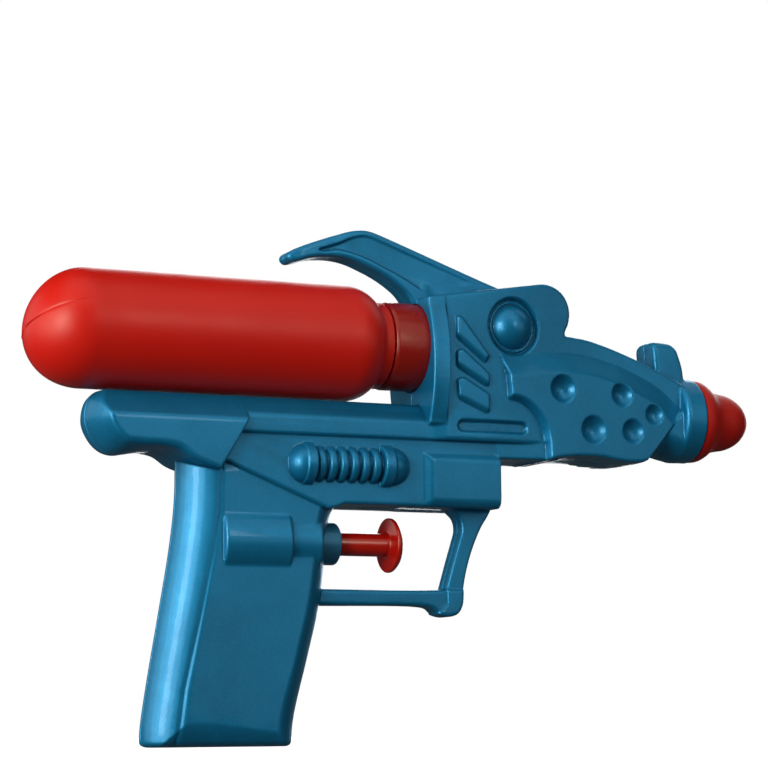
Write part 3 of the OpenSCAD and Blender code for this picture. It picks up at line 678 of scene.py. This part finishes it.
def make_bottle():
    br = 15.2
    wall = 1.2

    def dome(w):
        a = np.radians(np.concatenate([np.linspace(0, 12, 5), np.linspace(15, 90, 34)]))
        return [((br - w) * math.sin(t), -98.0 + w + 15.0 * (1 - max(math.cos(t), 0))) for t in a]

    def shoulder(w):
        return [(7.2 + (br - 7.2 - w) * math.cos(b), -12.4 + (9.4 - w) * math.sin(b)) for b in np.radians(np.linspace(0, 56, 16))]

    body = [(br, float(x)) for x in np.linspace(-82.0, -13.4, 44)]
    neck = [(9.05, float(x)) for x in np.arange(-1.1, 8.3, 0.3)]
    prof = dome(0) + body + shoulder(0)
    prof += fillet([prof[-1], (11.4, -4.15, 0.9), (11.4, -1.75, 0.55), (9.05, -1.75, 0.2), (9.05, -1.1)], 5)[1:-1]
    prof += neck + [(8.95, 8.6), (8.7, 8.8), (7.2, 8.8), (6.95, 8.6), (6.9, 8.2), (6.9, -4.2)]
    inner = [(7.2 + (br - 7.2 - wall) * math.cos(b), -12.4 + (9.4 - wall) * math.sin(b)) for b in np.radians(np.linspace(64, 0, 12))]
    prof += inner + [(br - wall, -82.0)] + dome(wall)[::-1]

    def bump(r, x, th):
        if x > -1.2 and abs(r - 9.05) < 1e-6:
            # screw thread, 3 mm to a turn
            ph = (x / 3.0 - th / (2 * math.pi)) % 1.0
            rise = min(1.0, max(0.0, x / 1.2)) * min(1.0, max(0.0, (8.2 - x) / 1.2))
            return 8.45 + 0.6 * rise * min(1.0, max(0.0, 1.6 - abs(ph - 0.5) * 5.0))
        return r

    # the two mould halves meet in a plane through the axis, tilted up on the right
    tilt = math.radians(20)
    near = [t + d for t in (math.pi - tilt, -tilt) for d in (-0.05, -0.032, -0.02, -0.01, 0.0, 0.01, 0.02, 0.032, 0.05)]
    ob = turned("bottle_moulding", prof, ZB, 160, bump=bump, extra=near)
    for v in ob.data.vertices:
        x, y, z = v.co.x * 1000 - ORG[0], v.co.y * 1000, v.co.z * 1000 - ORG[2] - ZB
        rr = math.hypot(y, z)
        if x > -13 or (rr < br - 0.7 and x > -83):
            continue
        d = abs(z * math.cos(tilt) + y * math.sin(tilt))
        # pinched groove over the rounded end, running out to a fine raised line on the sides
        run = min(1.0, max(0.0, (-82.5 - x) / 5.0))
        lift = (0.05 * (1 - run) - 0.15 * run) * math.exp(-(d / 0.30) ** 2)
        v.co += Vector(v.normal) * (lift / 1000.0)
    for v in ob.data.vertices:
        # the rounded end hangs a little low
        drop = min(1.0, max(0.0, (-82.0 - (v.co.x * 1000 - ORG[0])) / 15.0))
        v.co.z -= 1.1e-3 * drop * drop
    return ob


def make_cap():
    out = fillet([(0.0, 10.6), (9.2, 10.6), (9.2, -1.4, 0.3), (11.15, -1.4, 0.5), (11.65, -0.6, 0.5), (11.65, 3.0), (11.65, 10.1, 0.2),
                  (9.9, 10.1), (9.9, 11.5), (10.2, 11.5), (10.2, 14.2), (0.0, 14.2)])
    return turned("bottle_collar", out, ZB, 128)


def make_nozzle():
    ctrl = [(11.4, 92.8), (11.45, 93.6), (11.25, 95.1), (10.65, 96.4), (9.6, 97.9), (8.72, 99.3), (8.3, 100.8), (8.02, 102.4),
            (7.72, 104.2), (7.1, 106.0), (6.1, 107.8), (4.75, 109.3), (3.3, 110.4), (2.3, 110.95)]
    pts = smooth([(r, x, 1) if i in (0, len(ctrl) - 1) else (r, x) for i, (r, x) in enumerate(ctrl)], 4)
    shell = [tuple(q) for q in pts[: 4 * (len(ctrl) - 1) + 1]]
    prof = [(1.0, 84.3), (2.3, 84.3), (2.3, 88.4), (9.3, 88.4), (9.3, 91.0), (8.15, 91.0), (8.15, 92.7), (10.5, 92.7)] + shell
    prof += [(1.5, 111.0), (1.15, 110.9), (0.8, 110.5), (0.75, 108.8), (1.0, 107.8)]
    return turned("nozzle_moulding", prof, ZN, 112)


def make_trigger():
    prof = fillet([(0.0, -27.6), (1.5, -27.6), (1.5, -24.0), (3.0, -24.0, 0.2), (3.0, 0.2, 0.9), (6.4, 0.4), (7.15, 0.45, 0.5), (7.15, 1.3, 0.8),
                   (6.2, 2.25, 1.5), (4.6, 2.85, 2), (2.6, 3.15, 2), (0.0, 3.25)], 5)
    return turned("trigger_plunger", prof, ZP, 96)


def make_gland():
    prof = fillet([(3.2, -23.6), (5.2, -23.6), (5.2, -21.3), (5.5, -21.3), (5.5, -14.6, 0.7), (3.75, -14.6, 0.4), (3.11, -14.1 - 0.9, 0.2), (3.11, -23.4)])
    return turned("pump_gland_ring", prof, ZP, 80)


def make_spring(name, x0, x1, rm, rw, turns, zc, per, n):
    bm = bmesh.new()
    m = turns * per
    rings = []
    for i in range(m + 1):
        t = i / m
        ang = 2 * math.pi * i / per
        # flat closed coils at both ends
        u = t * turns
        lift = np.interp(u, [0, 1, turns - 1, turns], [0, 0.06, 0.94, 1])
        x = x0 + rw + (x1 - x0 - 2 * rw) * lift
        ring = []
        for k in range(n):
            b = 2 * math.pi * k / n
            r = rm + rw * math.cos(b)
            ring.append(bm.verts.new((x + rw * math.sin(b), r * math.cos(ang), zc + r * math.sin(ang))))
        rings.append(ring)
    for p, q in zip(rings[:-1], rings[1:]):
        for k in range(n):
            bm.faces.new((p[k], q[k], q[(k + 1) % n], p[(k + 1) % n]))
    bm.faces.new(rings[0])
    bm.faces.new(rings[-1][::-1])
    bmesh.ops.recalc_face_normals(bm, faces=bm.faces)
    return finish_mesh(name, bm, 40)


def make_screws():
    """Pan heads with a cross recess on threaded shanks, lying across the body."""
    bm = bmesh.new()
    n = 32
    for x0, z0, seat, deep in SCREWS:
        def ring(r, y, skip=None):
            return [bm.verts.new((x0 + r * math.cos(2 * math.pi * k / n), y, z0 + r * math.sin(2 * math.pi * k / n))) for k in range(n)]

        # head top with a four-armed recess: ring radius dips inside the arms
        rings = []
        for r, y in ((2.4, seat), (2.4, seat + 0.55), (2.28, seat + 0.95), (2.0, seat + 1.22), (1.75, seat + 1.33)):
            rings.append(ring(r, y))
        top = seat + 1.4
        star = []
        for k in range(n):
            th = 2 * math.pi * k / n
            arm = max(abs(math.cos(th)), abs(math.sin(th)))
            r = 1.35 if arm > 0.955 else 0.55
            star.append((th, r))
        rings.append([bm.verts.new((x0 + r * math.cos(th), top, z0 + r * math.sin(th))) for th, r in star])
        rings.append([bm.verts.new((x0 + 0.8 * r * math.cos(th), top - 0.75, z0 + 0.8 * r * math.sin(th))) for th, r in star])
        for p, q in zip(rings[:-1], rings[1:]):
            for k in range(n):
                bm.faces.new((p[k], p[(k + 1) % n], q[(k + 1) % n], q[k]))
        c = bm.verts.new((x0, top - 0.95, z0))
        for k in range(n):
            bm.faces.new((rings[-1][k], rings[-1][(k + 1) % n], c))
        # shank with a coarse thread
        ys = np.linspace(seat, deep + 0.9, max(8, int((seat - deep) / 0.22)))
        prev = rings[0]
        for y in ys:
            cur = []
            for k in range(n):
                th = 2 * math.pi * k / n
                ph = (y / 1.0 - th / (2 * math.pi)) % 1.0
                r = 0.92 + 0.28 * max(0.0, 1 - abs(ph - 0.5) * 4) if y < seat - 0.4 else 1.0
                cur.append(bm.verts.new((x0 + r * math.cos(th), y, z0 + r * math.sin(th))))
            for k in range(n):
                bm.faces.new((prev[k], cur[k], cur[(k + 1) % n], prev[(k + 1) % n]))
            prev = cur
        tip = bm.verts.new((x0, deep, z0))
        for k in range(n):
            bm.faces.new((prev[k], tip, prev[(k + 1) % n]))
    bmesh.ops.recalc_face_normals(bm, faces=bm.faces)
    return finish_mesh("shell_screw_set", bm, 35)


# -------------------------------------------------------------- materials ----
class Nodes:
    def __init__(self, name):
        self.m = bpy.data.materials.new(name)
        self.m.use_nodes = True
        self.t = self.m.node_tree
        self.b = next(n for n in self.t.nodes if n.type == "BSDF_PRINCIPLED")
        self.coord = self.add("ShaderNodeTexCoord")

    def add(self, kind, **props):
        n = self.t.nodes.new(kind)
        for k, v in props.items():
            setattr(n, k, v)
        return n

    def link(self, a, b):
        self.t.links.new(a, b)

    def set(self, **kw):
        for k, v in kw.items():
            self.b.inputs[k.replace("_", " ")].default_value = v

    def noise(self, scale, detail=2.0, rough=0.5, dist=0.0):
        n = self.add("ShaderNodeTexNoise")
        n.inputs["Scale"].default_value = scale
        n.inputs["Detail"].default_value = detail
        n.inputs["Roughness"].default_value = rough
        n.inputs["Distortion"].default_value = dist
        self.link(self.coord.outputs["Object"], n.inputs["Vector"])
        return n.outputs["Fac"]

    def ramp(self, fac, *stops):
        n = self.add("ShaderNodeValToRGB")
        e = n.color_ramp.elements
        while len(e) < len(stops):
            e.new(0.5)
        for el, (pos, col) in zip(e, stops):
            el.position = pos
            el.color = (*col, 1.0) if len(col) == 3 else col
        self.link(fac, n.inputs["Fac"])
        return n.outputs["Color"]

    def range(self, fac, a, b, lo, hi):
        n = self.add("ShaderNodeMapRange")
        for s, v in zip(("From Min", "From Max", "To Min", "To Max"), (a, b, lo, hi)):
            n.inputs[s].default_value = v
        self.link(fac, n.inputs["Value"])
        return n.outputs["Result"]

    def mix(self, fac, a, b, how="MIX"):
        n = self.add("ShaderNodeMix", data_type="RGBA", blend_type=how)
        for s, v in ((n.inputs[0], fac), (n.inputs[6], a), (n.inputs[7], b)):
            if isinstance(v, (int, float)):
                s.default_value = v
            elif isinstance(v, tuple):
                s.default_value = (*v, 1.0)
            else:
                self.link(v, s)
        return n.outputs[2]

    def math(self, op, a, b):
        n = self.add("ShaderNodeMath", operation=op)
        for s, v in zip(n.inputs, (a, b)):
            if isinstance(v, (int, float)):
                s.default_value = v
            else:
                self.link(v, s)
        return n.outputs[0]

    def bump(self, height, strength, dist=0.0002):
        n = self.add("ShaderNodeBump")
        n.inputs["Strength"].default_value = strength
        n.inputs["Distance"].default_value = dist
        self.link(height, n.inputs["Height"])
        self.link(n.outputs["Normal"], self.b.inputs["Normal"])


def pearl_blue(name, low, mid, high, metal, rough, turn=True):
    """Pearl-pigmented moulded plastic: fine flakes, flow clouds, painted highlights on convex edges and painted shade
    in inside corners.
    """
    k = Nodes(name)
    cloud = k.noise(42.0, 3.0, 0.55, 0.6)
    col = k.ramp(cloud, (0.30, low), (0.52, mid), (0.74, high))
    fl = k.add("ShaderNodeTexVoronoi")
    fl.inputs["Scale"].default_value = 2600.0
    k.link(k.coord.outputs["Object"], fl.inputs["Vector"])
    sep = k.add("ShaderNodeSeparateColor")
    k.link(fl.outputs["Color"], sep.inputs["Color"])
    glint = k.range(sep.outputs["Red"], 0.55, 1.0, 0.0, 0.07)
    col = k.mix(glint, col, tuple(min(1.0, c * 2.2 + 0.03) for c in high))
    if turn:
        at = k.add("ShaderNodeAttribute", attribute_name="turn")
        # painted highlight: convex edges lightened toward a pale cyan, broken up by noise
        edge_sheen_mask = k.range(at.outputs["Fac"], 0.4, 2.0, 0.0, 0.32)
        # painted shade: inside corners, creases and cups darkened toward a deep blue
        corner_shade = k.range(at.outputs["Fac"], -1.6, -0.3, 0.55, 0.0)
        painted_edge_sheen = k.math("MULTIPLY", edge_sheen_mask, k.range(k.noise(180.0, 3.0, 0.6), 0.3, 0.7, 0.55, 1.0))
        col = k.mix(painted_edge_sheen, col, tuple(min(1.0, c * 1.55 + 0.012) for c in high))
        col = k.mix(corner_shade, col, tuple(c * 0.35 for c in low))
    k.link(col, k.b.inputs["Base Color"])
    smear = k.noise(130.0, 4.0, 0.6, 0.3)
    k.link(k.range(smear, 0.25, 0.75, rough - 0.05, rough + 0.07), k.b.inputs["Roughness"])
    k.set(Metallic=metal, IOR=1.5, Coat_Weight=0.17, Coat_Roughness=0.07)
    k.b.inputs["Specular Tint"].default_value = (0.42, 0.84, 1.0, 1.0)
    k.bump(k.noise(1500.0, 2.0, 0.5), 0.06, 0.0001)
    return k.m


def plastic(name, base, dark, rough, spread=0.06, grain=900.0, bump=0.06, coat=0.0, sub=0.0, cloud=30.0, spec=0.5, speck=None, tint=(1.0, 1.0, 1.0)):
    """Moulded plastic with slight colour flow, uneven gloss and a fine skin."""
    k = Nodes(name)
    col = k.ramp(k.noise(cloud, 3.0, 0.55, 0.5), (0.30, dark), (0.70, base))
    if speck:
        dots = k.add("ShaderNodeTexVoronoi")
        dots.inputs["Scale"].default_value = 420.0
        k.link(k.coord.outputs["Object"], dots.inputs["Vector"])
        col = k.mix(k.range(dots.outputs["Distance"], 0.04, 0.16, 0.35, 0.0), col, speck)
    k.link(col, k.b.inputs["Base Color"])
    k.link(k.range(k.noise(110.0, 4.0, 0.6), 0.25, 0.75, rough - spread, rough + spread), k.b.inputs["Roughness"])
    k.set(IOR=1.5, Coat_Weight=coat, Coat_Roughness=0.22, Subsurface_Weight=sub)
    k.b.inputs["Specular IOR Level"].default_value = spec
    k.b.inputs["Specular Tint"].default_value = (*tint, 1.0)
    if sub:
        k.b.inputs["Subsurface Radius"].default_value = (0.004, 0.0012, 0.0008)
        k.b.inputs["Subsurface Scale"].default_value = 0.6
    k.bump(k.noise(grain, 2.0, 0.5), bump, 0.0001)
    return k.m


def metal(name, base, rough, grain):
    k = Nodes(name)
    col = k.ramp(k.noise(grain, 2.0, 0.6), (0.3, tuple(c * 0.78 for c in base)), (0.7, base))
    k.link(col, k.b.inputs["Base Color"])
    k.link(k.range(k.noise(grain * 3, 3.0, 0.6), 0.3, 0.7, rough - 0.06, rough + 0.08), k.b.inputs["Roughness"])
    k.set(Metallic=1.0)
    k.bump(k.noise(grain * 6, 1.0, 0.5), 0.05, 0.00005)
    return k.m


def soft_tube(name):
    k = Nodes(name)
    col = k.ramp(k.noise(60.0, 2.0, 0.5), (0.3, (0.66, 0.70, 0.67)), (0.7, (0.80, 0.84, 0.81)))
    k.link(col, k.b.inputs["Base Color"])
    k.link(k.range(k.noise(200.0, 2.0, 0.5), 0.3, 0.7, 0.22, 0.34), k.b.inputs["Roughness"])
    k.set(IOR=1.45, Subsurface_Weight=0.25)
    k.b.inputs["Subsurface Radius"].default_value = (0.002, 0.002, 0.002)
    k.b.inputs["Subsurface Scale"].default_value = 0.5
    return k.m


BLUE = pearl_blue("blue_pearl_plastic", (0.0016, 0.108, 0.212), (0.0020, 0.125, 0.245), (0.0028, 0.140, 0.268), 0.45, 0.42)
BLUE_RING = pearl_blue("blue_pearl_ring", (0.014, 0.100, 0.175), (0.017, 0.112, 0.194), (0.020, 0.122, 0.212), 0.35, 0.42, False)
WARM = (1.0, 0.80, 0.64)
RED = plastic("red_bottle_plastic", (0.450, 0.0062, 0.0024), (0.405, 0.0052, 0.0020), 0.40, 0.05, 700.0, 0.05, spec=0.33, speck=(0.385, 0.0052, 0.0022), tint=WARM)
DARK_RED = plastic("dark_red_plastic", (0.222, 0.0048, 0.0020), (0.195, 0.0040, 0.0017), 0.26, 0.05, 800.0, 0.04, spec=0.45, tint=WARM)
BRIGHT_RED = plastic("red_trigger_plastic", (0.34, 0.0050, 0.0018), (0.30, 0.0042, 0.0015), 0.19, 0.04, 800.0, 0.03, spec=0.50, tint=WARM)
NOZZLE_RED = plastic("red_nozzle_plastic", (0.362, 0.0036, 0.0016), (0.314, 0.0030, 0.0014), 0.54, 0.05, 600.0, 0.06, spec=0.30, tint=WARM)
WHITE = plastic("white_plastic", (0.80, 0.80, 0.77), (0.72, 0.72, 0.69), 0.40, 0.06, 700.0, 0.06)
RUBBER = plastic("black_rubber", (0.022, 0.022, 0.024), (0.014, 0.014, 0.015), 0.68, 0.10, 1200.0, 0.12, spec=0.35)
TUBE = soft_tube("clear_soft_tube")
SCREW = metal("zinc_screw_steel", (0.62, 0.63, 0.64), 0.34, 700.0)
SPRING = metal("spring_wire_steel", (0.56, 0.57, 0.58), 0.28, 900.0)
BALL = metal("polished_ball_steel", (0.70, 0.71, 0.72), 0.16, 500.0)


def dress(ob, mat):
    ob.data.materials.clear()
    ob.data.materials.append(mat)


def place(ob, mat, slot, body, *nodes):
    dress(ob, mat)
    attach(ob, body)
    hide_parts(*nodes)
    return ob


# ------------------------------------------------------------ build the body ----
outer = outer_body()
half = outer.copy()
inside_cut(half, outer)
cut = np.broadcast_to((0.035 - ga)[None, None, :], half.shape)

right = half.copy()
for x0, z0, _, deep in SCREWS:
    p = Patch(x0 - 2, x0 + 2, z0 - 2, z0 + 2, 1.0)
    carve(right, p, np.maximum(np.hypot(p.x - x0, p.z - z0) - 1.25, p.a + deep - 0.5))
right = np.maximum(right, cut)

left = half.copy()
for x0, z0, seat, _ in SCREWS:
    p = Patch(x0 - 5, x0 + 5, z0 - 5, z0 + 5, 1.0)
    rho = np.hypot(p.x - x0, p.z - z0)
    if seat > 3:
        join(left, p, np.maximum(np.maximum(rho - 4.2, 3.8 - p.a), outer[p.s]))
    carve(left, p, rho - 1.45 + 0 * p.a)
    carve(left, p, np.maximum(rho - 2.75, seat - p.a), 0.35)
left = np.maximum(left, cut)

FACES = 84000
place(field_mesh("right_shell_moulding", right, -1, FACES), BLUE, "blue_plastic", "root", "right_shell")
place(field_mesh("left_shell_moulding", left, 1, FACES), BLUE, "blue_plastic", "root", "left_shell")
del outer, half, right, left

place(make_bottle(), RED, "red_bottle", "bottle", "bottle")
place(make_cap(), DARK_RED, "dark_red_plastic", "root", "bottle_cap")
place(make_nozzle(), NOZZLE_RED, "red_plastic", "root", "nozzle")
place(make_trigger(), BRIGHT_RED, "red_plastic", "trigger", "trigger")
place(make_gland(), BLUE_RING, "blue_plastic", "root", "pump_gland")
place(make_screws(), SCREW, "screw_steel", "root", "shell_screws")
coil = place(make_spring("return_spring_wire", -47.0, -29.5, 3.9, 0.35, 6, ZP, 28, 10), SPRING, "spring_steel", "root", "return_spring")
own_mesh(coil)
coil = place(make_spring("outlet_spring_wire", 77.5, 84.2, 1.5, 0.2, 5, ZN, 24, 8), SPRING, "spring_steel", "root", "outlet_spring")
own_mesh(coil)

for names, mat in ((("inlet_valve_body", "outlet_valve_body", "tee_fitting", "pump_barrel", "piston"), WHITE),
                   (("dip_tube", "suction_tube", "pump_tube", "pressure_tube"), TUBE),
                   (("bottle_seal", "piston_seal"), RUBBER),
                   (("inlet_ball", "outlet_ball"), BALL)):
    for name in names:
        dress(NODES[name], mat)


# ----------------------------------------------------------- floor and light ----
def make_floor():
    bm = bmesh.new()
    bmesh.ops.create_circle(bm, cap_ends=True, segments=96, radius=0.46)
    me = bpy.data.meshes.new("studio_floor")
    bm.to_mesh(me)
    bm.free()
    ob = bpy.data.objects.new("studio_floor", me)
    scene.collection.objects.link(ob)
    k = Nodes("pale_floor")
    far = k.add("ShaderNodeVectorMath", operation="LENGTH")
    k.link(k.coord.outputs["Object"], far.inputs[0])
    away = k.range(far.outputs["Value"], 0.14, 0.44, 0.0, 1.0)
    col = k.ramp(k.noise(3.0, 2.0, 0.5), (0.3, (0.78, 0.78, 0.78)), (0.7, (0.82, 0.82, 0.82)))
    k.link(k.mix(away, col, (0.30, 0.30, 0.30)), k.b.inputs["Base Color"])
    k.b.inputs["Emission Color"].default_value = (1, 1, 1, 1)
    k.link(k.range(away, 0.0, 1.0, 0.52, 1.0), k.b.inputs["Emission Strength"])
    k.set(Roughness=0.8)
    k.b.inputs["Specular IOR Level"].default_value = 0.1
    me.materials.append(k.m)
    # the floor takes shadows but throws no light back up
    ob.visible_diffuse = False
    ob.visible_glossy = False
    ob.visible_transmission = False


def area(name, at, size, power, aim=(0.045, 0.0, 0.09), colour=(1, 1, 1)):
    d = bpy.data.lights.new(name, "AREA")
    d.shape = "RECTANGLE"
    d.size, d.size_y = size
    d.energy = power
    d.color = colour
    ob = bpy.data.objects.new(name, d)
    at = Vector(at)
    z = (at - Vector(aim)).normalized()
    ob.matrix_world = Matrix.Translation(at) @ z.to_track_quat("Z", "Y").to_matrix().to_4x4()
    scene.collection.objects.link(ob)
    return ob


def around(az, el, dist=1.1):
    """A place given by its angles to the side of and above the line to the camera."""
    a, e = math.radians(az), math.radians(el)
    v = CAM_R * (math.sin(a) * math.cos(e)) + CAM_U * math.sin(e) + CAM_B * (math.cos(a) * math.cos(e))
    return Vector((0.045, 0.0, 0.09)) + v * dist


make_floor()
area("key_window", around(-36, 16), (0.24, 0.44), 4.6)
area("key_softbox", around(-40, 12), (0.9, 0.8), 11.2)
area("side_softbox", around(-75, 12), (0.6, 0.6), 3.0)
area("upper_left_softbox", around(-40, 42), (0.6, 0.6), 0.5)
area("top_softbox", around(-10, 70), (1.3, 1.3), 5.4)
area("right_window", around(42, 24), (0.2, 0.34), 1.4)
area("right_strip", around(62, 12), (1.0, 0.5), 1.2)
area("upper_right_softbox", around(55, 45), (0.6, 0.6), 1.2)
area("rear_left_softbox", around(-112, 14), (0.7, 0.6), 1.3)
area("rear_right_softbox", around(130, 40), (0.6, 0.6), 1.0)
area("far_side_softbox", around(168, 10), (0.9, 0.8), 9.0)

world = bpy.data.worlds.new("studio")
world.use_nodes = True
scene.world = world
wt = world.node_tree
wt.nodes.clear()
out = wt.nodes.new("ShaderNodeOutputWorld")
mix = wt.nodes.new("ShaderNodeMixShader")
path = wt.nodes.new("ShaderNodeLightPath")
seen = wt.nodes.new("ShaderNodeBackground")
seen.inputs["Color"].default_value = (1, 1, 1, 1)
seen.inputs["Strength"].default_value = 1.0
fill = wt.nodes.new("ShaderNodeBackground")
fill.inputs["Color"].default_value = (1, 1, 1, 1)
fill.inputs["Strength"].default_value = 1.0
ray = wt.nodes.new("ShaderNodeTexCoord")
axis = wt.nodes.new("ShaderNodeSeparateXYZ")
shade = wt.nodes.new("ShaderNodeMapRange")
for key, val in (("From Min", -0.25), ("From Max", 0.25), ("To Min", 0.090), ("To Max", 0.006)):
    shade.inputs[key].default_value = val
wt.links.new(ray.outputs["Generated"], axis.inputs[0])
wt.links.new(axis.outputs["Z"], shade.inputs["Value"])
wt.links.new(shade.outputs["Result"], fill.inputs["Strength"])
wt.links.new(path.outputs["Is Camera Ray"], mix.inputs["Fac"])
wt.links.new(fill.outputs["Background"], mix.inputs[1])
wt.links.new(seen.outputs["Background"], mix.inputs[2])
wt.links.new(mix.outputs["Shader"], out.inputs["Surface"])
scene.view_settings.view_transform = "Standard"
